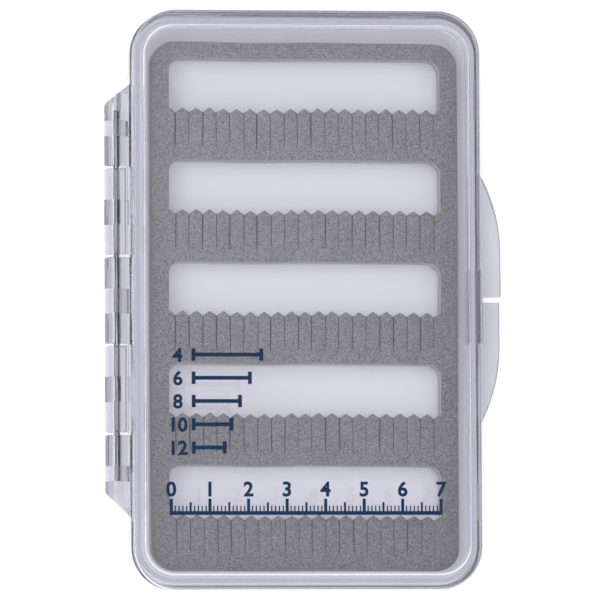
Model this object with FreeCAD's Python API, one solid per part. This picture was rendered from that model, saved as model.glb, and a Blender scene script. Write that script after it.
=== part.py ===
import FreeCAD
import Part
import math
import os

from FreeCAD import Vector

# A slim clear fly box, lying flat with its lid up and shut.
# Lengths are in millimetres. The hinge is on the -X side, the thumb tabs are on the +X side,
# and the underside of the lower shell is at z = 0. The part is drawn about the middle of the
# body and then moved sideways, so that x = 0 is the middle of the whole part.

# Body
body_width = 91.0
body_length = 150.0
body_corner_radius = 11.0
base_height = 9.8
lid_height = 7.05
parting_gap = 0.15
floor_thickness = 1.8
lid_thickness = 1.8
lid_side_inset = 0.45
base_bottom_fillet = 3.5
lid_top_fillet = 0.5
base_inner_fillet = 1.0
lid_inner_fillet = 1.0
rim_edge_fillet = 0.25

# Rim, from the outside in
outer_wall = 1.3
outer_wall_end_extra = 0.6
groove_width = 1.1
groove_depth = 1.8
inner_lip = 0.6

# Seal in the groove, and the lid ridge that presses on it
seal_side_clearance = 0.05
seal_height = 1.25
seal_edge_fillet = 0.25
ridge_side_clearance = 0.25
ridge_seal_gap = 0.05

# Locating lugs of the lid in notches of the lower shell
lug_length = 9.2
lug_depth = 0.8
lug_skin = 0.5
lug_clearance = 0.2
end_lug_place = 26.6
side_lug_place = 52.3

# Hinge
hinge_offset = 3.5
hinge_shift = -0.05
barrel_radius = 3.2
barrel_edge_fillet = 0.6
knuckle_length = 22.5
knuckle_gap = 0.5
end_knuckle_length = 21.4
end_block_length = 9.4
inner_segment_length = 8.0
far_end_taper = 5.2
near_end_taper = 6.2
end_corner_fillet = 2.5
web_sink = 0.6
mould_mark_radius = 1.3
mould_mark_depth = 0.8
mould_mark_from_end = 6.65

# Hinge pin
pin_radius = 0.75
pin_clearance = 0.05
pin_end_chamfer = 0.15
pin_end_play = 0.1
entry_slot_length = 2.4

# Thumb tabs
tab_reach = 5.3
tab_half_length = 32.6
tab_straight_half = 12.3
tab_gap = 1.2
tab_shift = 0.3
tab_thickness = 2.6
tab_edge_fillet = 0.3
tab_sink = 0.6

# Catch
catch_length = 19.0
catch_shift = -1.6
catch_end_clearance = 0.3
catch_pocket_depth = 1.0
catch_pocket_height = 5.0
catch_tongue_drop = 4.5
catch_tongue_inset = 0.3
catch_tongue_reach = 0.6
catch_tab_clearance = 0.35
catch_rise = 2.0
catch_bead_radius = 0.4
catch_bead_length = 14.0
catch_bead_drop = 3.2
catch_nose_radius = 0.25
catch_nose_drop = 4.0

# Foam insert and the film under it
foam_side_margin = 2.55
foam_far_margin = 4.3
foam_near_margin = 1.6
foam_thickness = 6.0
foam_corner_radius = 5.8
film_thickness = 0.15
window_count = 5
window_side_margin = 4.5
window_far_margin = 4.25
window_near_margin = 3.55
window_bar = 2.9
window_corner_radius = 3.2
slit_count = 20
slit_length = 9.4
slit_kerf = 0.25
tooth_height = 1.2

# How far a cutter runs past the face that it opens
overrun = 1.0

lid_low = base_height + parting_gap
lid_high = lid_low + lid_height
hinge_x = -body_width / 2 - hinge_offset
hinge_z = base_height + parting_gap / 2
hinge_reach = hinge_offset + barrel_radius
body_x = (hinge_reach - tab_reach) / 2
rim_width = outer_wall + groove_width + inner_lip
bore_radius = pin_radius + pin_clearance
half_hinge = 1.5 * knuckle_length + 2 * knuckle_gap + end_knuckle_length

# The foam fills the tray less a margin on each side, and its windows share out its length
foam_width = body_width - 2 * (rim_width + foam_side_margin)
tray_length = body_length - 2 * (rim_width + outer_wall_end_extra)
foam_length = tray_length - foam_far_margin - foam_near_margin
foam_shift = (foam_near_margin - foam_far_margin) / 2
window_width = foam_width - 2 * window_side_margin
window_pitch = (foam_length - window_far_margin - window_near_margin + window_bar) / window_count
window_height = window_pitch - slit_length - window_bar


def box(x_low, x_high, y_low, y_high, z_low, z_high):
    """A box between six planes."""
    size = (x_high - x_low, y_high - y_low, z_high - z_low)
    return Part.makeBox(*size, Vector(x_low, y_low, z_low))


def outline(points):
    """A closed wire through (x, y, bulge) points. A bulge is the middle of an arc to the next point."""
    edges = []
    for (x, y, bulge), (next_x, next_y, _) in zip(points, points[1:] + points[:1]):
        start = Vector(x, y, 0)
        end = Vector(next_x, next_y, 0)
        if bulge:
            edges.append(Part.Arc(start, Vector(*bulge, 0), end).toShape())
        else:
            edges.append(Part.LineSegment(start, end).toShape())
    return Part.Wire(edges)


def prism(points, low, high):
    """The upright solid of an outline between two heights."""
    solid = Part.Face(outline(points)).extrude(Vector(0, 0, high - low))
    solid.translate(Vector(0, 0, low))
    return solid


def rounded_points(width, length, radius):
    """The outline of a rectangle with round corners, about the origin."""
    points = []
    for x_sign, y_sign in ((1, -1), (1, 1), (-1, 1), (-1, -1)):
        centre_x = x_sign * (width / 2 - radius)
        centre_y = y_sign * (length / 2 - radius)
        diagonal = radius * math.sqrt(0.5)
        middle = (centre_x + x_sign * diagonal, centre_y + y_sign * diagonal)
        on_end = (centre_x, y_sign * length / 2)
        on_side = (x_sign * width / 2, centre_y)
        first, second = (on_end, on_side) if x_sign == -y_sign else (on_side, on_end)
        points += [(*first, middle), (*second, None)]
    return points


def flat_edges(solid, level, near):
    """The edges that lie flat at one height."""
    return [e for e in solid.Edges if max(abs(e.BoundBox.ZMin - level), abs(e.BoundBox.ZMax - level)) < near]


def fillet_level(solid, radius, level):
    """Rounds the edges that lie flat at one height."""
    return solid.makeFillet(radius, flat_edges(solid, level, radius / 10))


def end_rims(solid, near):
    """The round edges at the two ends of a rod along the hinge axis."""
    return [e for e in solid.Edges if e.BoundBox.YMax - e.BoundBox.YMin < near]


def rounded_plate(width, length, radius, low, high):
    return prism(rounded_points(width, length, radius), low, high)


def rim_plate(depth, low, high):
    """The plate inside the rim line that lies this deep in from the sides of the body."""
    width = body_width - 2 * depth
    length = body_length - 2 * (depth + outer_wall_end_extra)
    return rounded_plate(width, length, body_corner_radius - depth, low, high)


def rim_ring(outer_depth, inner_depth, low, high):
    """The ring between two rim lines."""
    hole = rim_plate(inner_depth, low - overrun, high + overrun)
    return rim_plate(outer_depth, low, high).cut(hole)


def lug_blocks(length, low, high):
    """Eight blocks across the rim, two on each side, where the lugs are."""
    blocks = []
    for sign in (-1, 1):
        for other in (-1, 1):
            x = sign * end_lug_place
            end_y = sorted((other * body_length / 2, other * (body_length / 2 - rim_width)))
            blocks.append(box(x - length / 2, x + length / 2, *end_y, low, high))
            y = sign * side_lug_place
            side_x = sorted((other * body_width / 2, other * (body_width / 2 - rim_width)))
            blocks.append(box(*side_x, y - length / 2, y + length / 2, low, high))
    return Part.makeCompound(blocks)


def hinge_rod(radius, y_low, y_high):
    """A cylinder along the hinge axis."""
    start = Vector(hinge_x, y_low, hinge_z)
    return Part.makeCylinder(radius, y_high - y_low, start, Vector(0, 1, 0))


def barrel(y_low, y_high):
    """A knuckle's round barrel, with its ends eased."""
    solid = hinge_rod(barrel_radius, y_low, y_high)
    return solid.makeFillet(barrel_edge_fillet, end_rims(solid, barrel_edge_fillet / 10))


def pin_slot(y_low, y_high, upward):
    """The half slot that leaves the pin open above or below, as a straight-pull mould makes it."""
    reach = barrel_radius + overrun
    z_low, z_high = (hinge_z, hinge_z + reach) if upward else (hinge_z - reach, hinge_z)
    return box(hinge_x - bore_radius, hinge_x + bore_radius, y_low, y_high, z_low, z_high)


def hinge_envelope():
    """Everything that the hinge may fill, with both ends tapered in to the body."""
    outer = hinge_x - barrel_radius
    wall = -body_width / 2
    inner = wall + rim_width
    low = hinge_shift - half_hinge
    high = hinge_shift + half_hinge
    corners = [(inner, low), (wall, low), (outer, low + near_end_taper)]
    corners += [(outer, high - far_end_taper), (wall, high), (inner, high)]
    points = [(x, y, None) for x, y in corners]
    solid = prism(points, hinge_z - 2 * barrel_radius, hinge_z + 2 * barrel_radius)
    near = end_corner_fillet / 10
    upright = [e for e in solid.Edges if e.BoundBox.YLength < near and e.BoundBox.XMax < outer + near]
    return solid.makeFillet(end_corner_fillet, upright)


def knuckle_group(y_low, y_high, cuts, web):
    """A barrel and its web, less the half slots in (from, to, upward) form."""
    x_low, x_high, z_low, z_high = web
    solid = barrel(y_low, y_high).fuse(box(x_low, x_high, y_low, y_high, z_low, z_high))
    for slot_low, slot_high, upward in cuts:
        solid = solid.cut(pin_slot(slot_low, slot_high, upward))
    return solid


def middle_cuts(y_low, y_high, middle_open):
    """A middle group's three half slots: the middle one opens one way and the outer two the other."""
    first = y_low + inner_segment_length
    second = y_high - inner_segment_length
    return [
        (y_low - overrun, first, not middle_open),
        (first, second, middle_open),
        (second, y_high + overrun, not middle_open),
    ]


def base_knuckles():
    web = (hinge_x, -body_width / 2 + web_sink, hinge_z - barrel_radius, base_height)
    half = knuckle_length / 2
    end_start = half_hinge - end_knuckle_length
    closed_from = half_hinge - end_block_length
    turn = end_start + inner_segment_length
    centre = hinge_shift
    middle = (centre - half, centre + half)
    groups = [knuckle_group(*middle, middle_cuts(*middle, False), web)]
    for sign in (-1, 1):
        ends = sorted((centre + sign * end_start, centre + sign * half_hinge))
        near = sorted((centre + sign * (end_start - overrun), centre + sign * turn))
        far = sorted((centre + sign * turn, centre + sign * closed_from))
        cuts = [(*near, True), (*far, False)]
        if sign > 0:
            cuts.append((centre + closed_from, centre + closed_from + entry_slot_length, True))
        groups.append(knuckle_group(*ends, cuts, web))
    solid = groups[0].fuse(groups[1:]).common(hinge_envelope())
    mark_y = centre - half_hinge + mould_mark_from_end
    mark_z = hinge_z + barrel_radius - mould_mark_depth
    return solid.cut(Part.makeCylinder(mould_mark_radius, overrun, Vector(hinge_x, mark_y, mark_z)))


def lid_knuckles():
    web = (hinge_x, -body_width / 2 + lid_side_inset + web_sink, lid_low, hinge_z + barrel_radius)
    near = knuckle_length / 2 + knuckle_gap
    groups = []
    for sign in (-1, 1):
        ends = sorted((hinge_shift + sign * near, hinge_shift + sign * (near + knuckle_length)))
        groups.append(knuckle_group(*ends, middle_cuts(*ends, True), web))
    return groups[0].fuse(groups[1])


def pin_span():
    """Where the pin lies: from the closed end of its bore to the end of the entry slot."""
    low = hinge_shift - half_hinge + end_block_length + pin_end_play
    high = hinge_shift + half_hinge - end_block_length + entry_slot_length
    return low, high


def pin_bore():
    """The bore through every knuckle, closed at one end and open at the end where the pin goes in."""
    low, _ = pin_span()
    return hinge_rod(bore_radius, low - pin_end_play, hinge_shift + half_hinge + overrun)


def hinge_pin():
    low, high = pin_span()
    solid = hinge_rod(pin_radius, low, high)
    return solid.makeChamfer(pin_end_chamfer, end_rims(solid, pin_end_chamfer / 10))


def tab(sign, low, high):
    """One thumb tab: straight along the middle and curved in to the body at its far end."""
    wall = body_width / 2
    outer = wall + tab_reach
    inner = wall - tab_sink
    near = sign * tab_gap / 2 + tab_shift
    bend = sign * tab_straight_half + tab_shift
    end = sign * tab_half_length + tab_shift
    run = tab_half_length - tab_straight_half
    radius = (run**2 + tab_reach**2) / (2 * tab_reach)
    half_turn = math.asin(run / radius) / 2
    bulge_x = outer - radius + radius * math.cos(half_turn)
    bulge = (bulge_x, bend + sign * radius * math.sin(half_turn))
    corners = [(outer, near, None), (outer, bend, bulge), (wall, end, None), (inner, end, None)]
    solid = prism([(inner, near, None), *corners], low, high)
    flat = flat_edges(solid, low, tab_edge_fillet / 10) + flat_edges(solid, high, tab_edge_fillet / 10)
    along = [e for e in flat if e.BoundBox.XMin > inner + tab_sink / 2 and e.BoundBox.YLength > tab_gap]
    return solid.makeFillet(tab_edge_fillet, along)


def catch_rod(radius, length, x, z):
    """A round bar along the catch."""
    start = Vector(x, catch_shift - length / 2, z)
    return Part.makeCylinder(radius, length, start, Vector(0, 1, 0))


def base_shell():
    outer = rounded_plate(body_width, body_length, body_corner_radius, 0, base_height)
    outer = fillet_level(outer, base_bottom_fillet, 0)
    outer = fillet_level(outer, rim_edge_fillet, base_height)
    cavity = rim_plate(rim_width, floor_thickness, base_height + overrun)
    cavity = fillet_level(cavity, base_inner_fillet, floor_thickness)
    above = base_height + overrun
    groove = rim_ring(outer_wall, outer_wall + groove_width, base_height - groove_depth, above)
    notch_low = base_height - lug_depth - lug_clearance
    notches = rim_ring(lug_skin, outer_wall + groove_width / 2, notch_low, above)
    notches = notches.common(lug_blocks(lug_length + 2 * lug_clearance, notch_low, above))
    wall = body_width / 2
    half = catch_length / 2 + catch_end_clearance
    back = wall - catch_pocket_depth
    reach = wall + catch_tongue_reach + catch_tab_clearance
    ends = (catch_shift - half, catch_shift + half)
    pocket = box(back, reach, *ends, base_height - catch_pocket_height, above)
    bead = catch_rod(catch_bead_radius, catch_bead_length, back, base_height - catch_bead_drop)
    shell = outer.cut(cavity).fuse([base_knuckles(), tab(-1, base_height - tab_thickness, base_height)])
    return shell.cut([groove, notches, pocket, pin_bore()]).fuse(bead)


def lid_shell():
    width = body_width - 2 * lid_side_inset
    outer = rounded_plate(width, body_length, body_corner_radius, lid_low, lid_high)
    outer = fillet_level(outer, lid_top_fillet, lid_high)
    outer = fillet_level(outer, rim_edge_fillet, lid_low)
    cavity = rim_plate(rim_width, lid_low - overrun, lid_high - lid_thickness)
    cavity = fillet_level(cavity, lid_inner_fillet, lid_high - lid_thickness)
    ridge_low = base_height - groove_depth + seal_height + ridge_seal_gap
    ridge_outer = outer_wall + ridge_side_clearance
    ridge_inner = outer_wall + groove_width - ridge_side_clearance
    root = lid_low + lid_thickness / 2
    ridge = rim_ring(ridge_outer, ridge_inner, ridge_low, root)
    lugs = rim_ring(lug_skin + lug_clearance, outer_wall - lug_clearance, base_height - lug_depth, root)
    lugs = lugs.common(lug_blocks(lug_length, base_height - lug_depth, root))
    wall = body_width / 2
    ends = (catch_shift - catch_length / 2, catch_shift + catch_length / 2)
    back = wall - catch_tongue_inset
    front = wall + catch_tongue_reach
    tongue = box(back, front, *ends, base_height - catch_tongue_drop, lid_low + catch_rise)
    boss = box(wall - outer_wall, front, *ends, lid_low, lid_low + catch_rise)
    nose = catch_rod(catch_nose_radius, catch_bead_length, back, base_height - catch_nose_drop)
    added = [lid_knuckles(), ridge, lugs, tab(1, lid_low, lid_low + tab_thickness), tongue, boss, nose]
    return outer.cut(cavity).fuse(added).cut(pin_bore())


def rim_seal():
    low = base_height - groove_depth
    high = low + seal_height
    outer = rim_plate(outer_wall + seal_side_clearance, low, high)
    outer = fillet_level(outer, seal_edge_fillet, high)
    inner_depth = outer_wall + groove_width - seal_side_clearance
    return outer.cut(rim_plate(inner_depth, low - overrun, high + overrun))


def window_points(top, slit_run):
    """A window's outline: round upper corners, and a row of pointed teeth with a slit between each two."""
    half = window_width / 2
    valley = top - window_height
    peak = valley + tooth_height
    radius = window_corner_radius
    diagonal = radius * math.sqrt(0.5)
    pitch = window_width / slit_count
    points = [
        (half, peak, None),
        (half, top - radius, (half - radius + diagonal, top - radius + diagonal)),
        (half - radius, top, None),
        (radius - half, top, (radius - half - diagonal, top - radius + diagonal)),
        (-half, top - radius, None),
        (-half, peak, None),
    ]
    for i in range(slit_count):
        x = -half + (i + 0.5) * pitch
        if slit_run:
            kerf = slit_kerf / 2
            points += [(x - kerf, valley, None), (x - kerf, valley - slit_run, None)]
            points += [(x + kerf, valley - slit_run, None), (x + kerf, valley, None)]
        else:
            points.append((x, valley, None))
        if i < slit_count - 1:
            points.append((x + pitch / 2, peak, None))
    return points


def die_cut(low, high, slit_run):
    """The sheet that the foam and its film are both cut from."""
    sheet = rounded_plate(foam_width, foam_length, foam_corner_radius, low, high)
    windows = []
    for row in range(window_count):
        top = foam_length / 2 - window_far_margin - row * window_pitch
        windows.append(prism(window_points(top, slit_run), low - overrun, high + overrun))
    sheet = sheet.cut(windows)
    sheet.translate(Vector(0, foam_shift, 0))
    return sheet


foam_low = floor_thickness + film_thickness
nodes = {
    "base_shell": base_shell(),
    "lid_shell": lid_shell(),
    "hinge_pin": hinge_pin(),
    "rim_seal": rim_seal(),
    "foam_insert": die_cut(foam_low, foam_low + foam_thickness, slit_length),
    "foam_adhesive": die_cut(floor_thickness, foam_low, 0),
}

os.makedirs("parts", exist_ok=True)
for name, shape in nodes.items():
    shape.translate(Vector(body_x, 0, 0))
    solids = shape.removeSplitter().Solids
    kept = solids[0] if len(solids) == 1 else Part.makeCompound(solids)
    print(name, len(solids), "solid", kept.isValid(), round(kept.Volume, 2), "mm3")
    kept.exportStep("parts/" + name + ".step")
print("hinge axis at x", round(hinge_x + body_x, 4), "z", round(hinge_z, 4))
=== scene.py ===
import math
import random

import bpy
from mathutils import Matrix, Vector


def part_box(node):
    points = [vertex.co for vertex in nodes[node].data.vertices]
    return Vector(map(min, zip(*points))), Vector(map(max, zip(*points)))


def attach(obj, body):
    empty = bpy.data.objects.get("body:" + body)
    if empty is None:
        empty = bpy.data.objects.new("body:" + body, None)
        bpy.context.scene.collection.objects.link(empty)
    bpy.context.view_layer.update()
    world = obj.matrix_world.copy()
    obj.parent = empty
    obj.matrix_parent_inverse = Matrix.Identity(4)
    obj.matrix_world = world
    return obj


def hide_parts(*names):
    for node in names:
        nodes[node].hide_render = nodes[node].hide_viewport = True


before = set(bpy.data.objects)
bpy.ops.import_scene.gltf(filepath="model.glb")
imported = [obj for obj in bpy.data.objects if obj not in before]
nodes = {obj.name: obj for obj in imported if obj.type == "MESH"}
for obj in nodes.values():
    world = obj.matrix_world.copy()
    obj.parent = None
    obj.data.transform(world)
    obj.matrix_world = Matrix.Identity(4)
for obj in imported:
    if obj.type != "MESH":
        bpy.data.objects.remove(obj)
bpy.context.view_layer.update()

# A slim clear fly box, shut, seen from above. The clear shells, the pin, the seal and the film
# keep their CAD shapes and get better materials. The foam sheet and the print are made here.

mm = 0.001
bpy.ops.object.select_all(action="DESELECT")
print("frame loaded:", len(nodes), "nodes")


def linearColour(hexText):
    # sRGB hex to the linear values that shaders take
    parts = [int(hexText[i:i + 2], 16) / 255 for i in (0, 2, 4)]
    linear = [c / 12.92 if c <= 0.04045 else ((c + 0.055) / 1.055) ** 2.4 for c in parts]
    return (*linear, 1.0)


def addNode(tree, kind, settings=None, links=None, stops=None):
    # adds one node: settings fill its sockets or options, links join its sockets to others
    node = tree.nodes.new(kind)
    for name, value in (settings or {}).items():
        if isinstance(name, int) or name in node.inputs:
            node.inputs[name].default_value = value
        else:
            setattr(node, name, value)
    for name, source in (links or {}).items():
        tree.links.new(source, node.inputs[name])
    if stops:
        elements = node.color_ramp.elements
        while len(elements) < len(stops):
            elements.new(0.5)
        for element, (place, colour) in zip(elements, stops):
            element.position = place
            element.color = colour
    return node


def newMaterial(name):
    material = bpy.data.materials.new(name)
    material.use_nodes = True
    tree = material.node_tree
    tree.nodes.clear()
    return material, tree, addNode(tree, "ShaderNodeOutputMaterial")


def dress(piece, material):
    # puts one material in every slot of a piece
    if not piece.material_slots:
        piece.data.materials.append(material)
    for place in piece.material_slots:
        place.material = material


def settle(piece):
    # moves a piece's place and turn into its mesh, so that its object sits at the origin
    bpy.ops.object.select_all(action="DESELECT")
    piece.select_set(True)
    bpy.context.view_layer.objects.active = piece
    bpy.ops.object.transform_apply(location=True, rotation=True, scale=True)


def pick(piece, mode, test):
    # in edit mode: selects only the vertices, by place, or edges, by both ends, that pass the test
    bpy.ops.mesh.select_all(action="DESELECT")
    bpy.ops.mesh.select_mode(type=mode)
    bpy.ops.object.mode_set(mode="OBJECT")
    mesh = piece.data
    if mode == "VERT":
        for vertex in mesh.vertices:
            vertex.select = test(vertex.co)
    else:
        for edge in mesh.edges:
            edge.select = test([mesh.vertices[i].co for i in edge.vertices])
    bpy.ops.object.mode_set(mode="EDIT")


def joinAll(pieces, name):
    # joins two or more pieces under one name
    bpy.ops.object.select_all(action="DESELECT")
    for piece in pieces:
        piece.select_set(True)
    bpy.context.view_layer.objects.active = pieces[0]
    bpy.ops.object.join()
    pieces[0].name = name
    return pieces[0]


def copyOf(piece, turn):
    # a copy with its own mesh, moved by a matrix
    fresh = piece.copy()
    fresh.data = piece.data.copy()
    bpy.context.scene.collection.objects.link(fresh)
    fresh.data.transform(turn)
    return fresh


def cutAway(piece, cutter):
    # subtracts the cutter from the piece and removes it
    bpy.ops.object.select_all(action="DESELECT")
    bpy.context.view_layer.objects.active = piece
    piece.select_set(True)
    cut = piece.modifiers.new("cut", "BOOLEAN")
    cut.object = cutter
    cut.operation = "DIFFERENCE"
    cut.solver = "EXACT"
    bpy.ops.object.modifier_apply(modifier=cut.name)
    bpy.data.objects.remove(cutter)


# Camera: far off with a long lens, a little to the hinge side and the near end of the box
view = {
    "distance": 2300 * mm,
    "towardsHinge": 0.11,
    "towardsNearEnd": 0.07,
    "target": (-0.85 * mm, 0.1 * mm, 12 * mm),
    "frameWidth": 155.3 * mm,
    "rollDegrees": 0.3,
    "sensorWidth": 36,
    "farClip": 20,
}


def makeCamera(s):
    target = Vector(s["target"])
    back = Vector((-s["towardsHinge"], -s["towardsNearEnd"], 1)).normalized()
    side = Vector((0, 1, 0)).cross(back).normalized()
    turn = Matrix((side, back.cross(side), back)).transposed().to_4x4()
    roll = Matrix.Rotation(-math.radians(s["rollDegrees"]), 4, "Z")
    lens = bpy.data.cameras.new("photoCamera")
    lens.sensor_width = s["sensorWidth"]
    lens.lens = lens.sensor_width * s["distance"] / s["frameWidth"]
    lens.clip_end = s["farClip"]
    camera = bpy.data.objects.new("photoCamera", lens)
    bpy.context.scene.collection.objects.link(camera)
    camera.matrix_world = Matrix.Translation(target + back * s["distance"]) @ turn @ roll
    bpy.context.scene.camera = camera


makeCamera(view)
print("camera placed")

# Studio: a white table, an even pale sky with a dim violet side, and one soft lamp
studio = {
    "tableSize": 4.0,
    "tableDrop": 0.3 * mm,
    "tableColour": "E6E6EA",
    "tableGlow": 0.5,  # only where the camera or a mirror sees it, so the ground comes out white
    "seenThrough": 0.2,  # how much of that glow shows through the clear plastic
    "skyLevel": 1.17,
    "skyColour": "FBFAFF",
    "dimColour": "6A6480",
    "dimTowards": (0.75, 0.66, 0.0),
    "dimRange": (0.35, 0.8),  # cosines of the angles to it between which the sky goes dim
    "keyPower": 6.0,
    "keySize": 0.9,
    "keyPlace": (-0.5, 0.1, 1.3),
}


def makeStudio(s):
    bpy.ops.mesh.primitive_plane_add(size=s["tableSize"], location=(0, 0, -s["tableDrop"]))
    table = bpy.context.active_object
    table.name = "table"
    settle(table)
    material, tree, output = newMaterial("matt white table")
    path = addNode(tree, "ShaderNodeLightPath")
    seen = addNode(tree, "ShaderNodeMath", {"operation": "ADD", "use_clamp": True},
                   {0: path.outputs["Is Camera Ray"], 1: path.outputs["Is Glossy Ray"]})
    # a ray that was bent by glass counts as glossy too, and there less of the glow is added
    bent = addNode(tree, "ShaderNodeMath", {
        "operation": "MULTIPLY_ADD", 1: s["seenThrough"] - 1, 2: 1.0},
        {0: path.outputs["Is Transmission Ray"]})
    shown = addNode(tree, "ShaderNodeMath", {"operation": "MULTIPLY"},
                    {0: seen.outputs[0], 1: bent.outputs[0]})
    paint = addNode(tree, "ShaderNodeBsdfDiffuse", {"Color": linearColour(s["tableColour"])})
    glow = addNode(tree, "ShaderNodeEmission", {"Strength": s["tableGlow"]})
    lifted = addNode(tree, "ShaderNodeAddShader", links={0: paint.outputs[0], 1: glow.outputs[0]})
    mixed = addNode(tree, "ShaderNodeMixShader", links={
        0: shown.outputs[0], 1: paint.outputs[0], 2: lifted.outputs[0]})
    tree.links.new(mixed.outputs[0], output.inputs["Surface"])
    dress(table, material)

    world = bpy.data.worlds.new("pale sky")
    bpy.context.scene.world = world
    world.use_nodes = True
    tree = world.node_tree
    tree.nodes.clear()
    output = addNode(tree, "ShaderNodeOutputWorld")
    coordinates = addNode(tree, "ShaderNodeTexCoord")
    away = Vector(s["dimTowards"]).normalized()
    side = addNode(tree, "ShaderNodeVectorMath", {"operation": "DOT_PRODUCT", 1: away},
                   {0: coordinates.outputs["Generated"]})
    start, end = s["dimRange"]
    dim = addNode(tree, "ShaderNodeMapRange", {"interpolation_type": "SMOOTHSTEP",
                  "From Min": start, "From Max": end}, {"Value": side.outputs["Value"]})
    colour = addNode(tree, "ShaderNodeMix", {"data_type": "RGBA",
                     6: linearColour(s["skyColour"]), 7: linearColour(s["dimColour"])},
                     {0: dim.outputs[0]})
    sky = addNode(tree, "ShaderNodeBackground", {"Strength": s["skyLevel"]},
                  {"Color": colour.outputs[2]})
    backdrop = addNode(tree, "ShaderNodeBackground", {"Strength": 1.0})
    path = addNode(tree, "ShaderNodeLightPath")
    mixed = addNode(tree, "ShaderNodeMixShader", links={
        0: path.outputs["Is Camera Ray"], 1: sky.outputs[0], 2: backdrop.outputs[0]})
    tree.links.new(mixed.outputs[0], output.inputs["Surface"])

    bpy.ops.object.light_add(type="AREA", location=s["keyPlace"])
    key = bpy.context.active_object
    key.name = "softKeyLamp"
    key.data.size = s["keySize"]
    key.data.energy = s["keyPower"]
    key.rotation_euler = (-Vector(s["keyPlace"])).to_track_quat("-Z", "Y").to_euler()
    key.visible_camera = False
    key.visible_transmission = False


makeStudio(studio)
scene = bpy.context.scene
scene.view_settings.view_transform = "Standard"
print("studio made")

# Clear shells: polycarbonate, injection moulded and polished. It bends light strongly, so the rims
# show dark and bright lines, some of them painted light and shade, and the flat faces stay clear
# with a faint violet tint.
shell = {
    "tint": "FAFAFE",
    "roughness": 0.012,
    "refraction": 1.585,
    "flowWave": 14 * mm,  # the width of the faint waves that mould flow leaves
    "flowDepth": 0.0012,
    "shadowTint": "F8F8F8",
    "edgeShadow": "8C8A94",  # light that skims a wall is mostly turned aside
    "edgePale": "EEEDF0",
    "wallShadow": "94928D",  # light that crosses the upright walls of the rim is dimmed
    "lostAfter": 5.5,  # after this many turns a ray ends in a painted glow that stands in for light caught in the plastic
    # painted light and shade: that glow is dark violet in the floor towards the far and tab rims,
    # pale elsewhere
    "lostFarShade": "625B6E",
    "lostNearLight": "B4B3C0",
    "sideLean": 0.7,  # the far rim counts this much beside the tab rim as a dark side
    "sideRange": (-12 * mm, 30 * mm),
    "uprightRange": (0.6, 0.2),  # how level a face is, from sloping to upright
    "roundedRange": (0.97, 0.6),
    "skimRange": (0.5, 0.95),
    # painted shade: the hinge knuckles and the tabs get a greyer tint than the rest of the clear
    # plastic
    "hingeShade": "DEDEE3",
    "tabShade": "EFF1F4",
    # painted shade: a dark line on the rounded edges of the tabs
    "tabEdgeShade": "74767C",
    "zones": (-44.9 * mm, 46.5 * mm),  # the hinge lies before the first, the tabs after the second
    "span": 60 * mm,  # half of what the tint's ramp covers
    "zoneStep": 0.002,
    "blur": 0.1 * mm,
    "catch": ((45.65 * mm, -1.6 * mm), (0.75 * mm, 9.6 * mm)),  # middle and half size
    "catchShade": "C6BECE",  # painted shade: darker where light is caught between the catch and its pocket
    "floorTop": 1.8 * mm,
}


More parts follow.
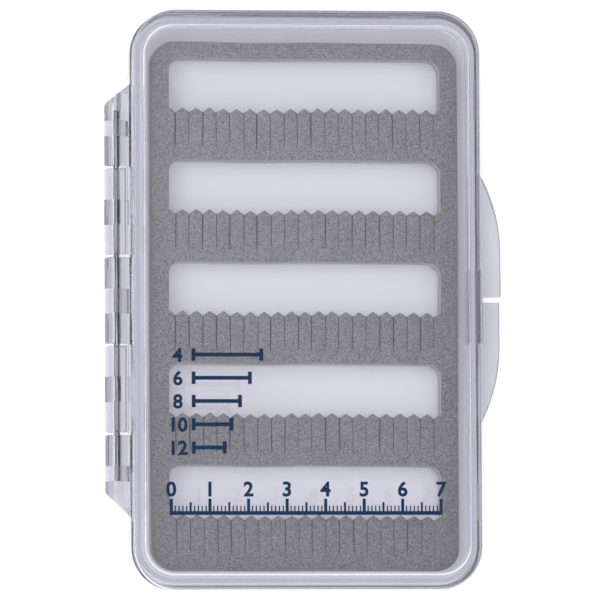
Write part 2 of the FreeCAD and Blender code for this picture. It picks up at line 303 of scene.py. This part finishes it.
def makeShellMaterial(s):
    material, tree, output = newMaterial("clear polycarbonate, moulded")
    place = addNode(tree, "ShaderNodeTexCoord")
    flow = addNode(tree, "ShaderNodeTexNoise", {"Scale": 1 / s["flowWave"], "Detail": 1.0},
                   {"Vector": place.outputs["Object"]})
    wave = addNode(tree, "ShaderNodeBump", {"Strength": s["flowDepth"], "Distance": 1 * mm},
                   {"Height": flow.outputs["Fac"]})
    across = addNode(tree, "ShaderNodeSeparateXYZ", links={0: place.outputs["Object"]})
    span, step, blur = s["span"], s["zoneStep"], s["blur"]
    hingeEnd, tabStart = [0.5 + x / span / 2 for x in s["zones"]]
    spread = addNode(tree, "ShaderNodeMapRange", {"From Min": -span, "From Max": span},
                     {"Value": across.outputs["X"]})
    # painted shade: the tint ramps to greyer colours over the hinge and over the tabs
    tint = addNode(tree, "ShaderNodeValToRGB", links={"Fac": spread.outputs[0]}, stops=(
        (hingeEnd, linearColour(s["hingeShade"])), (hingeEnd + step, linearColour(s["tint"])),
        (tabStart, linearColour(s["tint"])), (tabStart + step, linearColour(s["tabShade"]))))
    facing = addNode(tree, "ShaderNodeSeparateXYZ", links={0: place.outputs["Normal"]})
    level = addNode(tree, "ShaderNodeMath", {"operation": "ABSOLUTE"}, {0: facing.outputs["Z"]})
    start, end = s["uprightRange"]
    upright = addNode(tree, "ShaderNodeMapRange", {"From Min": start, "From Max": end},
                      {"Value": level.outputs[0]})
    start, end = s["roundedRange"]
    rounded = addNode(tree, "ShaderNodeMapRange", {"From Min": start, "From Max": end},
                      {"Value": level.outputs[0]})
    # painted shade: the rounded faces on the tabs get the dark edge colour
    onTab = addNode(tree, "ShaderNodeMapRange", {"From Min": s["zones"][1],
                    "From Max": s["zones"][1] + 2 * blur}, {"Value": across.outputs["X"]})
    tabRim = addNode(tree, "ShaderNodeMath", {"operation": "MULTIPLY"},
                     {0: rounded.outputs[0], 1: onTab.outputs[0]})
    tabbed = addNode(tree, "ShaderNodeMix", {"data_type": "RGBA", 7: linearColour(s["tabEdgeShade"])},
                     {0: tabRim.outputs[0], 6: tint.outputs[0]})
    # painted shade over the catch and its pocket
    near = []
    for axis, middle, half in zip("XY", *s["catch"]):
        off = addNode(tree, "ShaderNodeMath", {"operation": "SUBTRACT", 1: middle},
                      {0: across.outputs[axis]})
        away = addNode(tree, "ShaderNodeMath", {"operation": "ABSOLUTE"}, {0: off.outputs[0]})
        near.append(addNode(tree, "ShaderNodeMapRange", {"From Min": half + blur,
                    "From Max": half - blur}, {"Value": away.outputs[0]}))
    inCatch = addNode(tree, "ShaderNodeMath", {"operation": "MULTIPLY"},
                      {0: near[0].outputs[0], 1: near[1].outputs[0]})
    colour = addNode(tree, "ShaderNodeMix", {"data_type": "RGBA", 7: linearColour(s["catchShade"])},
                     {0: inCatch.outputs[0], 6: tabbed.outputs[2]})
    plastic = addNode(tree, "ShaderNodeBsdfPrincipled", {
        "Roughness": s["roughness"], "IOR": s["refraction"], "Transmission Weight": 1.0},
        {"Base Color": colour.outputs[2], "Normal": wave.outputs["Normal"]})
    path = addNode(tree, "ShaderNodeLightPath")
    # painted light and shade: rays caught in the plastic glow pale, or dark violet in the floor
    # towards the far and tab rims
    far = addNode(tree, "ShaderNodeMath", {"operation": "MULTIPLY_ADD", 1: s["sideLean"]},
                  {0: across.outputs["Y"], 2: across.outputs["X"]})
    start, end = s["sideRange"]
    side = addNode(tree, "ShaderNodeMapRange", {"From Min": start, "From Max": end},
                   {"Value": far.outputs[0]})
    low = addNode(tree, "ShaderNodeMapRange", {"From Min": s["floorTop"] + blur,
                  "From Max": s["floorTop"] - blur}, {"Value": across.outputs["Z"]})
    dark = addNode(tree, "ShaderNodeMath", {"operation": "MULTIPLY"},
                   {0: side.outputs[0], 1: low.outputs[0]})
    lost = addNode(tree, "ShaderNodeMath", {"operation": "GREATER_THAN", 1: s["lostAfter"]},
                   {0: path.outputs["Ray Depth"]})
    caught = addNode(tree, "ShaderNodeMix", {"data_type": "RGBA",
                     6: linearColour(s["lostNearLight"]), 7: linearColour(s["lostFarShade"])},
                     {0: dark.outputs[0]})
    glow = addNode(tree, "ShaderNodeEmission", links={"Color": caught.outputs[2]})
    clear = addNode(tree, "ShaderNodeMixShader", links={
        0: lost.outputs[0], 1: plastic.outputs[0], 2: glow.outputs[0]})
    slant = addNode(tree, "ShaderNodeLayerWeight", {"Blend": 0.5})
    start, end = s["skimRange"]
    skim = addNode(tree, "ShaderNodeMapRange", {"From Min": start, "From Max": end},
                   {"Value": slant.outputs["Facing"]})
    wall = addNode(tree, "ShaderNodeMix", {"data_type": "RGBA",
                   6: linearColour(s["shadowTint"]), 7: linearColour(s["wallShadow"])},
                   {0: upright.outputs[0]})
    edge = addNode(tree, "ShaderNodeMix", {"data_type": "RGBA",
                   6: linearColour(s["edgePale"]), 7: linearColour(s["edgeShadow"])},
                   {0: side.outputs[0]})
    veil = addNode(tree, "ShaderNodeMix", {"data_type": "RGBA"},
                   {0: skim.outputs[0], 6: wall.outputs[2], 7: edge.outputs[2]})
    through = addNode(tree, "ShaderNodeBsdfTransparent", links={"Color": veil.outputs[2]})
    soft = addNode(tree, "ShaderNodeMath", {"operation": "MAXIMUM"},
                   {0: path.outputs["Is Shadow Ray"], 1: path.outputs["Is Diffuse Ray"]})
    mixed = addNode(tree, "ShaderNodeMixShader", links={
        0: soft.outputs[0], 1: clear.outputs[0], 2: through.outputs[0]})
    tree.links.new(mixed.outputs[0], output.inputs["Surface"])
    return material


shellMaterial = makeShellMaterial(shell)
for name in ("base_shell", "lid_shell"):
    dress(nodes[name], shellMaterial)
print("shells dressed")

# Pin: stainless wire, cold drawn. Fine lines run along it, it mirrors the room in bands, and its
# sides get painted shade.
pin = {
    "colour": "8E8E93",
    # painted shade: the wire's colour darkens where its surface turns away from the eye
    "turnedAwayShade": "141316",
    "edgeRange": (0.15, 0.6),  # from facing the eye to turned away
    "roughness": (0.132, 0.33),
    "lineWidth": 0.25 * mm,  # drawn lines are finer, and this is as fine as shows
    "lineLength": 9 * mm,
    "lineDepth": 0.02 * mm,
    "streak": (0.45, 1.35),
}


def makePinMaterial(s):
    material, tree, output = newMaterial("stainless wire, drawn")
    place = addNode(tree, "ShaderNodeTexCoord")
    along = addNode(tree, "ShaderNodeMapping", {
        "Scale": (1 / s["lineWidth"], 1 / s["lineLength"], 1 / s["lineWidth"])},
        {"Vector": place.outputs["Object"]})
    lines = addNode(tree, "ShaderNodeTexNoise", {"Scale": 1.0, "Detail": 3.0},
                    {"Vector": along.outputs[0]})
    low, high = s["roughness"]
    rough = addNode(tree, "ShaderNodeMapRange", {"To Min": low, "To Max": high},
                    {"Value": lines.outputs["Fac"]})
    relief = addNode(tree, "ShaderNodeBump", {"Strength": 0.4, "Distance": s["lineDepth"]},
                     {"Height": lines.outputs["Fac"]})
    # painted shade: darker towards the sides that turn away from the eye
    turned = addNode(tree, "ShaderNodeLayerWeight", {"Blend": 0.5})
    start, end = s["edgeRange"]
    tone = addNode(tree, "ShaderNodeValToRGB", links={"Fac": turned.outputs["Facing"]}, stops=(
        (start, linearColour(s["colour"])), (end, linearColour(s["turnedAwayShade"]))))
    low, high = s["streak"]
    streak = addNode(tree, "ShaderNodeMapRange", {"From Min": 0.35, "From Max": 0.65,
                     "To Min": low, "To Max": high}, {"Value": lines.outputs["Fac"]})
    drawn = addNode(tree, "ShaderNodeVectorMath", {"operation": "MULTIPLY"},
                    {0: tone.outputs[0], 1: streak.outputs[0]})
    steel = addNode(tree, "ShaderNodeBsdfPrincipled", {"Metallic": 1.0},
                    {"Base Color": drawn.outputs[0], "Roughness": rough.outputs[0],
                     "Normal": relief.outputs["Normal"]})
    tree.links.new(steel.outputs[0], output.inputs["Surface"])
    return material


dress(nodes["hinge_pin"], makePinMaterial(pin))
print("pin dressed")

# Seal: colourless silicone, moulded. Cloudy and soft-looking where the shells are clear.
seal = {
    "colour": "FBFBFD",
    "roughness": 0.08,
    "refraction": 1.41,
    "grain": 0.3 * mm,
    "grainDepth": 0.03 * mm,
}


def makeSealMaterial(s):
    material, tree, output = newMaterial("colourless silicone, moulded")
    place = addNode(tree, "ShaderNodeTexCoord")
    grain = addNode(tree, "ShaderNodeTexNoise", {"Scale": 1 / s["grain"], "Detail": 2.0},
                    {"Vector": place.outputs["Object"]})
    relief = addNode(tree, "ShaderNodeBump", {"Strength": 0.15, "Distance": s["grainDepth"]},
                     {"Height": grain.outputs["Fac"]})
    rubber = addNode(tree, "ShaderNodeBsdfPrincipled", {
        "Base Color": linearColour(s["colour"]), "Roughness": s["roughness"],
        "IOR": s["refraction"], "Transmission Weight": 1.0},
        {"Normal": relief.outputs["Normal"]})
    through = addNode(tree, "ShaderNodeBsdfTransparent", {"Color": linearColour(s["colour"])})
    path = addNode(tree, "ShaderNodeLightPath")
    soft = addNode(tree, "ShaderNodeMath", {"operation": "MAXIMUM"},
                   {0: path.outputs["Is Shadow Ray"], 1: path.outputs["Is Diffuse Ray"]})
    mixed = addNode(tree, "ShaderNodeMixShader", links={
        0: soft.outputs[0], 1: rubber.outputs[0], 2: through.outputs[0]})
    tree.links.new(mixed.outputs[0], output.inputs["Surface"])
    return material


dress(nodes["rim_seal"], makeSealMaterial(seal))

# Film: acrylic double-sided film, cast. Milky, with a slight gloss at its cut edges.
film = {
    "colour": "C9C9CC",
    "roughness": (0.32, 0.48),
    "refraction": 1.47,
    "mottle": 1.5 * mm,
}


def makeFilmMaterial(s):
    material, tree, output = newMaterial("acrylic film, cast")
    place = addNode(tree, "ShaderNodeTexCoord")
    mottle = addNode(tree, "ShaderNodeTexNoise", {"Scale": 1 / s["mottle"], "Detail": 3.0},
                     {"Vector": place.outputs["Object"]})
    low, high = s["roughness"]
    rough = addNode(tree, "ShaderNodeMapRange", {"To Min": low, "To Max": high},
                    {"Value": mottle.outputs["Fac"]})
    acrylic = addNode(tree, "ShaderNodeBsdfPrincipled", {
        "Base Color": linearColour(s["colour"]), "IOR": s["refraction"]},
        {"Roughness": rough.outputs[0]})
    tree.links.new(acrylic.outputs[0], output.inputs["Surface"])
    return material


dress(nodes["foam_adhesive"], makeFilmMaterial(film))
print("seal and film dressed")

# Foam sheet: closed-cell foam, die-cut. Matt grey with fine cells, soft cut edges, five windows and
# a row of pointed teeth with a slit between each two below every window.
foam = {
    "cornerRadius": 5.8 * mm,
    "windows": 5,
    "windowWidth": 70.9 * mm,
    "windowHeight": 14.1 * mm,
    "windowRadius": 3.2 * mm,
    "farMargin": 4.25 * mm,
    "pitch": 26.4 * mm,
    "slits": 20,
    "slitLength": 9.4 * mm,
    "slitLengths": (0.96, 1.03),  # how far single slits differ, as shares
    "slitWidths": (0.55, 1.35),
    "slitTurn": 0.7,  # degrees
    "slitMouth": 0.3 * mm,  # how far the blade reaches past the teeth's valleys
    "taper": (0.8, 0.35),  # from this share of its length the blade narrows to this share
    "kerf": 0.3 * mm,
    "toothHeight": 1.2 * mm,
    "toothSpread": 0.12,
    "edgeRound": 0.12 * mm,
    "cutStep": 3 * mm,
    "unevenness": 0.12 * mm,
    "waves": (9 * mm, 4.3 * mm, 23 * mm),  # the sheet's faint waves, two along X and one along Y
    "skew": -0.006,  # the sheet was stuck in a little out of true
    "shift": (0.1 * mm, 0.15 * mm),
    "bow": 0.35 * mm,  # how far the hinge side of the sheet bows
    "seed": 11,
    "colour": "3A393C",
    "paleColour": "8D8C92",
    "toneStops": (0.1, 0.9),
    "roughness": 0.92,
    "refraction": 1.48,
    "cell": 0.2 * mm,
    "cellDepth": 0.12 * mm,
    "poolWidth": 6 * mm,
    "poolShare": 0.15,  # how much the pale and dark pools add to the cells
    "fade": 0.09,  # how much darker the near right corner is
    "fadeReach": 90 * mm,
    "edgeFade": (26 * mm, 42 * mm, -0.09),  # the tab side is darker too
    "litWallColour": "B5B4B8",  # painted light: the cut walls of the windows are painted paler than the skin, for light from the white table below
    "cutFrom": -39 * mm,
    "cutBlend": 1 * mm,
    "outerWallLight": 0.7,  # how much of that painted light the outer wall on the hinge side gets
    "uprightRange": (0.7, 0.2),
    "slitZone": (0.7 * mm, 34.6 * mm),  # middle and half width of where the slit walls stay dark
    "slitFacing": (0.8, 0.95),
    "blur": 0.1 * mm,
}


def foamBlock(s, low, high):
    middle = (low + high) / 2
    bpy.ops.mesh.primitive_cube_add(size=1, location=middle, scale=high - low)
    block = bpy.context.active_object
    block.name = "foam_sheet"
    settle(block)
    bpy.ops.object.mode_set(mode="EDIT")
    pick(block, "EDGE", lambda ends: abs(ends[0].z - ends[1].z) > 1 * mm)
    bpy.ops.mesh.bevel(offset=s["cornerRadius"], segments=10, profile=0.5)
    steps = int((high.x - low.x) / s["cutStep"])
    for i in range(1, steps):
        bpy.ops.mesh.select_all(action="SELECT")
        x = low.x + (high.x - low.x) * i / steps
        bpy.ops.mesh.bisect(plane_co=(x, 0, 0), plane_no=(1, 0, 0))
    steps = int((high.y - low.y) / s["cutStep"])
    for i in range(1, steps):
        bpy.ops.mesh.select_all(action="SELECT")
        y = low.y + (high.y - low.y) * i / steps
        bpy.ops.mesh.bisect(plane_co=(0, y, 0), plane_no=(0, 1, 0))
    bpy.ops.object.mode_set(mode="OBJECT")
    return block


def windowCutter(s, centreX, top, low, high):
    width, height, spread = s["windowWidth"], s["windowHeight"], s["toothSpread"]
    bpy.ops.mesh.primitive_plane_add(size=1, location=(centreX, top - height / 2, high))
    cutter = bpy.context.active_object
    cutter.scale = (width, height, 1)
    settle(cutter)
    bpy.ops.object.mode_set(mode="EDIT")
    pick(cutter, "VERT", lambda co: co.y > top - 0.1 * mm)
    bpy.ops.mesh.bevel(affect="VERTICES", offset=s["windowRadius"], segments=8)
    bottom = top - height
    pick(cutter, "EDGE", lambda ends: max(end.y for end in ends) < bottom + 0.1 * mm)
    bpy.ops.mesh.subdivide(number_cuts=2 * s["slits"] - 1)
    bpy.ops.object.mode_set(mode="OBJECT")
    half = width / s["slits"] / 2
    for vertex in cutter.data.vertices:
        if vertex.co.y < bottom + 0.1 * mm:
            k = round((vertex.co.x - centreX + width / 2) / half)
            if k % 2 == 0:
                vertex.co.y += s["toothHeight"] * (1 + random.uniform(-spread, spread))
            if 0 < k < 2 * s["slits"]:
                vertex.co.x += random.uniform(-0.5, 0.5) * s["unevenness"]
    bpy.ops.object.mode_set(mode="EDIT")
    bpy.ops.mesh.select_all(action="SELECT")
    bpy.ops.mesh.extrude_region_move(TRANSFORM_OT_translate={"value": (0, 0, low - high)})
    bpy.ops.mesh.select_all(action="SELECT")
    bpy.ops.mesh.normals_make_consistent(inside=False)
    bpy.ops.object.mode_set(mode="OBJECT")
    return cutter


def slitBlade(s, low, high):
    # the blade that opens one slit, narrower at its far end, with its mouth at the origin
    length = s["slitLength"]
    narrowFrom, narrowTo = s["taper"]
    bpy.ops.mesh.primitive_cube_add(size=1, location=(0, -length / 2, (low + high) / 2),
                                    scale=(s["kerf"], length, high - low))
    blade = bpy.context.active_object
    settle(blade)
    bpy.ops.object.mode_set(mode="EDIT")
    bpy.ops.mesh.select_all(action="SELECT")
    bpy.ops.mesh.bisect(plane_co=(0, -length * narrowFrom, 0), plane_no=(0, 1, 0))
    pick(blade, "VERT", lambda co: co.y < -length * 0.95)
    bpy.ops.transform.resize(value=(narrowTo, 1, 1), center_override=(0, 0, 0))
    bpy.ops.object.mode_set(mode="OBJECT")
    return blade


def makeFoam(s):
    random.seed(s["seed"])
    low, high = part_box("foam_insert")
    sheet = foamBlock(s, low, high)
    centreX = (low.x + high.x) / 2
    past = 1 * mm
    blade = slitBlade(s, low.z - past, high.z + past)
    cutters, slits = [], []
    toothPitch = s["windowWidth"] / s["slits"]
    for row in range(s["windows"]):
        top = high.y - s["farMargin"] - row * s["pitch"]
        cutters.append(windowCutter(s, centreX, top, low.z - past, high.z + past))
        valley = top - s["windowHeight"]
        for i in range(s["slits"]):
            x = centreX - s["windowWidth"] / 2 + (i + 0.5) * toothPitch
            x += random.uniform(-1, 1) * s["unevenness"]
            degrees = random.uniform(-s["slitTurn"], s["slitTurn"])
            turn = Matrix.Rotation(math.radians(degrees), 4, "Z")
            width = random.uniform(*s["slitWidths"])
            length = random.uniform(*s["slitLengths"])
            size = Matrix.Diagonal((width, length, 1, 1))
            place = Matrix.Translation((x, valley + s["slitMouth"], 0))
            slits.append(copyOf(blade, place @ turn @ size))
    bpy.data.objects.remove(blade)
    cutAway(sheet, joinAll(cutters, "windowCutters"))
    cutAway(sheet, joinAll(slits, "slitCutters"))
    bpy.context.view_layer.objects.active = sheet
    sheet.select_set(True)
    rounding = sheet.modifiers.new("softEdges", "BEVEL")
    rounding.width = s["edgeRound"]
    rounding.segments = 2
    rounding.limit_method = "ANGLE"
    rounding.angle_limit = math.radians(40)
    bpy.ops.object.modifier_apply(modifier=rounding.name)
    longWave, shortWave, acrossWave = s["waves"]
    for vertex in sheet.data.vertices:
        x, y = vertex.co.x, vertex.co.y
        wave = math.sin(x / longWave) + 0.6 * math.sin(x / shortWave + 1)
        vertex.co.y += s["unevenness"] * wave
        vertex.co.x += s["unevenness"] * math.sin(y / acrossWave + 0.4)
        vertex.co.y += s["shift"][1] + s["skew"] * (x - centreX)
        hingeward = max(0, centreX - x) / (high.x - centreX)
        vertex.co.x += s["shift"][0] + s["bow"] * hingeward * (y / high.y) ** 2
    bpy.ops.object.shade_smooth_by_angle(angle=math.radians(35))
    return sheet


def makeFoamMaterial(s):
    material, tree, output = newMaterial("closed-cell foam, die-cut")
    place = addNode(tree, "ShaderNodeTexCoord")
    cells = addNode(tree, "ShaderNodeTexVoronoi", {"Scale": 1 / s["cell"]},
                    {"Vector": place.outputs["Object"]})
    oneCell = addNode(tree, "ShaderNodeSeparateColor", links={0: cells.outputs["Color"]})
    pools = addNode(tree, "ShaderNodeTexNoise", {"Scale": 1 / s["poolWidth"], "Detail": 2.0},
                    {"Vector": place.outputs["Object"]})
    mixed = addNode(tree, "ShaderNodeMix", {0: s["poolShare"]},
                    {2: oneCell.outputs["Red"], 3: pools.outputs["Fac"]})
    across = addNode(tree, "ShaderNodeSeparateXYZ", links={0: place.outputs["Object"]})
    corner = addNode(tree, "ShaderNodeMath", {"operation": "SUBTRACT"},
                     {0: across.outputs["Y"], 1: across.outputs["X"]})
    lift = addNode(tree, "ShaderNodeMapRange", {
        "From Min": -s["fadeReach"], "From Max": s["fadeReach"],
        "To Min": -s["fade"], "To Max": s["fade"]}, {"Value": corner.outputs[0]})
    start, end, depth = s["edgeFade"]
    margin = addNode(tree, "ShaderNodeMapRange", {
        "From Min": start, "From Max": end, "To Max": depth}, {"Value": across.outputs["X"]})
    faded = addNode(tree, "ShaderNodeMath", {"operation": "ADD"},
                    {0: lift.outputs[0], 1: margin.outputs[0]})
    shade = addNode(tree, "ShaderNodeMath", {"operation": "ADD"},
                    {0: mixed.outputs[0], 1: faded.outputs[0]})
    start, end = s["toneStops"]
    tone = addNode(tree, "ShaderNodeValToRGB", links={"Fac": shade.outputs[0]}, stops=(
        (start, linearColour(s["colour"])), (end, linearColour(s["paleColour"]))))
    relief = addNode(tree, "ShaderNodeBump", {"Strength": 0.6, "Distance": s["cellDepth"]},
                     {"Height": cells.outputs["Distance"]})
    # painted light: the walls of the windows are painted pale, while those of the slits keep the
    # foam's tone
    facing = addNode(tree, "ShaderNodeSeparateXYZ", links={0: place.outputs["Normal"]})
    start, end = s["uprightRange"]
    upright = addNode(tree, "ShaderNodeMapRange", {"From Min": start, "From Max": end},
                      {"Value": facing.outputs["Z"]})
    inside = addNode(tree, "ShaderNodeMapRange", {"From Min": s["cutFrom"],
                     "From Max": s["cutFrom"] + s["cutBlend"], "To Min": s["outerWallLight"]},
                     {"Value": across.outputs["X"]})
    middle, half = s["slitZone"]
    off = addNode(tree, "ShaderNodeMath", {"operation": "SUBTRACT", 1: middle},
                  {0: across.outputs["X"]})
    aside = addNode(tree, "ShaderNodeMath", {"operation": "ABSOLUTE"}, {0: off.outputs[0]})
    inRow = addNode(tree, "ShaderNodeMapRange", {"From Min": half + s["blur"],
                    "From Max": half - s["blur"]}, {"Value": aside.outputs[0]})
    sideways = addNode(tree, "ShaderNodeMath", {"operation": "ABSOLUTE"}, {0: facing.outputs["X"]})
    start, end = s["slitFacing"]
    slitWall = addNode(tree, "ShaderNodeMapRange", {"From Min": start, "From Max": end},
                       {"Value": sideways.outputs[0]})
    inSlit = addNode(tree, "ShaderNodeMath", {"operation": "MULTIPLY"},
                     {0: inRow.outputs[0], 1: slitWall.outputs[0]})
    openCut = addNode(tree, "ShaderNodeMath", {"operation": "SUBTRACT", 0: 1.0},
                      {1: inSlit.outputs[0]})
    openPale = addNode(tree, "ShaderNodeMath", {"operation": "MULTIPLY"},
                       {0: openCut.outputs[0], 1: inside.outputs[0]})
    pale = addNode(tree, "ShaderNodeMath", {"operation": "MULTIPLY"},
                   {0: upright.outputs[0], 1: openPale.outputs[0]})
    skin = addNode(tree, "ShaderNodeMix", {"data_type": "RGBA", 7: linearColour(s["litWallColour"])},
                   {0: pale.outputs[0], 6: tone.outputs[0]})
    body = addNode(tree, "ShaderNodeBsdfPrincipled", {
        "Roughness": s["roughness"], "IOR": s["refraction"]},
        {"Base Color": skin.outputs[2], "Normal": relief.outputs["Normal"]})
    tree.links.new(body.outputs[0], output.inputs["Surface"])
    return material


foamSheet = makeFoam(foam)
dress(foamSheet, makeFoamMaterial(foam))
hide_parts("foam_insert")
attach(foamSheet, "base")
print("foam made:", len(foamSheet.data.polygons), "faces")

# Print: navy ink on the lid, a plain centimetre rule and a plain gauge for hook lengths
ink = {
    "colour": "112E4A",
    "roughness": (0.44, 0.66),
    "shine": 0.1,
    "mottle": 2 * mm,
    "depth": 0.012 * mm,
    "textSize": 5.2 * mm,
    "smallText": 5.0 * mm,
    "boldness": 0.03,
    "curveSteps": 4,
    "ruleStart": (-35.0 * mm, -55.8 * mm),
    "numberGap": 0.7 * mm,
    "centimetres": 7,
    "baseline": 1.0 * mm,
    "ticks": {10: (0.8 * mm, 3.2 * mm), 5: (0.55 * mm, 2.3 * mm), 1: (0.32 * mm, 1.4 * mm)},
    "gaugeStart": (-28.6 * mm, -14.4 * mm),
    "gaugeRows": {"4": 16.6 * mm, "6": 13.6 * mm, "8": 11.0 * mm, "10": 8.8 * mm, "12": 7.0 * mm},
    "gaugeGap": 4.6 * mm,  # from a gauge bar to the middle of its number
    "numberDrop": 0.36,  # share of a number's size by which it starts below its bar
    "rowPitch": 6.0 * mm,
    "bar": 1.0 * mm,
    "endTick": 3.2 * mm,
}


def inkBar(s, level, left, bottom, right, top):
    middle = ((left + right) / 2, (bottom + top) / 2, level + s["depth"] / 2)
    size = (right - left, top - bottom, s["depth"])
    bpy.ops.mesh.primitive_cube_add(size=1, location=middle, scale=size)
    bar = bpy.context.active_object
    settle(bar)
    return bar


def inkNumber(s, level, text, x, bottom, size):
    bpy.ops.object.text_add(location=(x, bottom, level + s["depth"] / 2))
    number = bpy.context.active_object
    number.data.body = text
    number.data.size = size
    number.data.align_x = "CENTER"
    number.data.extrude = s["depth"] / 2
    number.data.offset = size * s["boldness"]
    number.data.resolution_u = s["curveSteps"]
    bpy.ops.object.convert(target="MESH")
    number = bpy.context.active_object
    settle(number)
    return number


def makePrint(s):
    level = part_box("lid_shell")[1].z
    marks = []
    startX, startY = s["ruleStart"]
    base = startY + s["baseline"]
    endX = startX + s["centimetres"] * 10 * mm
    widest = s["ticks"][10][0] / 2
    marks.append(inkBar(s, level, startX - widest, startY, endX + widest, base))
    for i in range(s["centimetres"] * 10 + 1):
        step = 10 if i % 10 == 0 else 5 if i % 5 == 0 else 1
        width, height = s["ticks"][step]
        x = startX + i * mm
        marks.append(inkBar(s, level, x - width / 2, base, x + width / 2, base + height))
        if step == 10:
            bottom = base + height + s["numberGap"]
            marks.append(inkNumber(s, level, str(i // 10), x, bottom, s["textSize"]))
    x, y = s["gaugeStart"]
    half, tick, size = s["bar"] / 2, s["endTick"] / 2, s["smallText"]
    for name, length in s["gaugeRows"].items():
        marks.append(inkBar(s, level, x, y - half, x + length, y + half))
        for end in (x - 2 * half, x + length):
            marks.append(inkBar(s, level, end, y - tick, end + 2 * half, y + tick))
        bottom = y - size * s["numberDrop"]
        marks.append(inkNumber(s, level, name, x - s["gaugeGap"], bottom, size))
        y -= s["rowPitch"]
    return joinAll(marks, "lid_print")


def makeInkMaterial(s):
    material, tree, output = newMaterial("navy pad-printing ink")
    place = addNode(tree, "ShaderNodeTexCoord")
    mottle = addNode(tree, "ShaderNodeTexNoise", {"Scale": 1 / s["mottle"], "Detail": 2.0},
                     {"Vector": place.outputs["Object"]})
    low, high = s["roughness"]
    rough = addNode(tree, "ShaderNodeMapRange", {"To Min": low, "To Max": high},
                    {"Value": mottle.outputs["Fac"]})
    coat = addNode(tree, "ShaderNodeBsdfPrincipled", {
        "Base Color": linearColour(s["colour"]), "Specular IOR Level": s["shine"]},
        {"Roughness": rough.outputs[0]})
    tree.links.new(coat.outputs[0], output.inputs["Surface"])
    return material


lidPrint = makePrint(ink)
dress(lidPrint, makeInkMaterial(ink))
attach(lidPrint, "lid")
print("print made:", len(lidPrint.data.polygons), "faces")
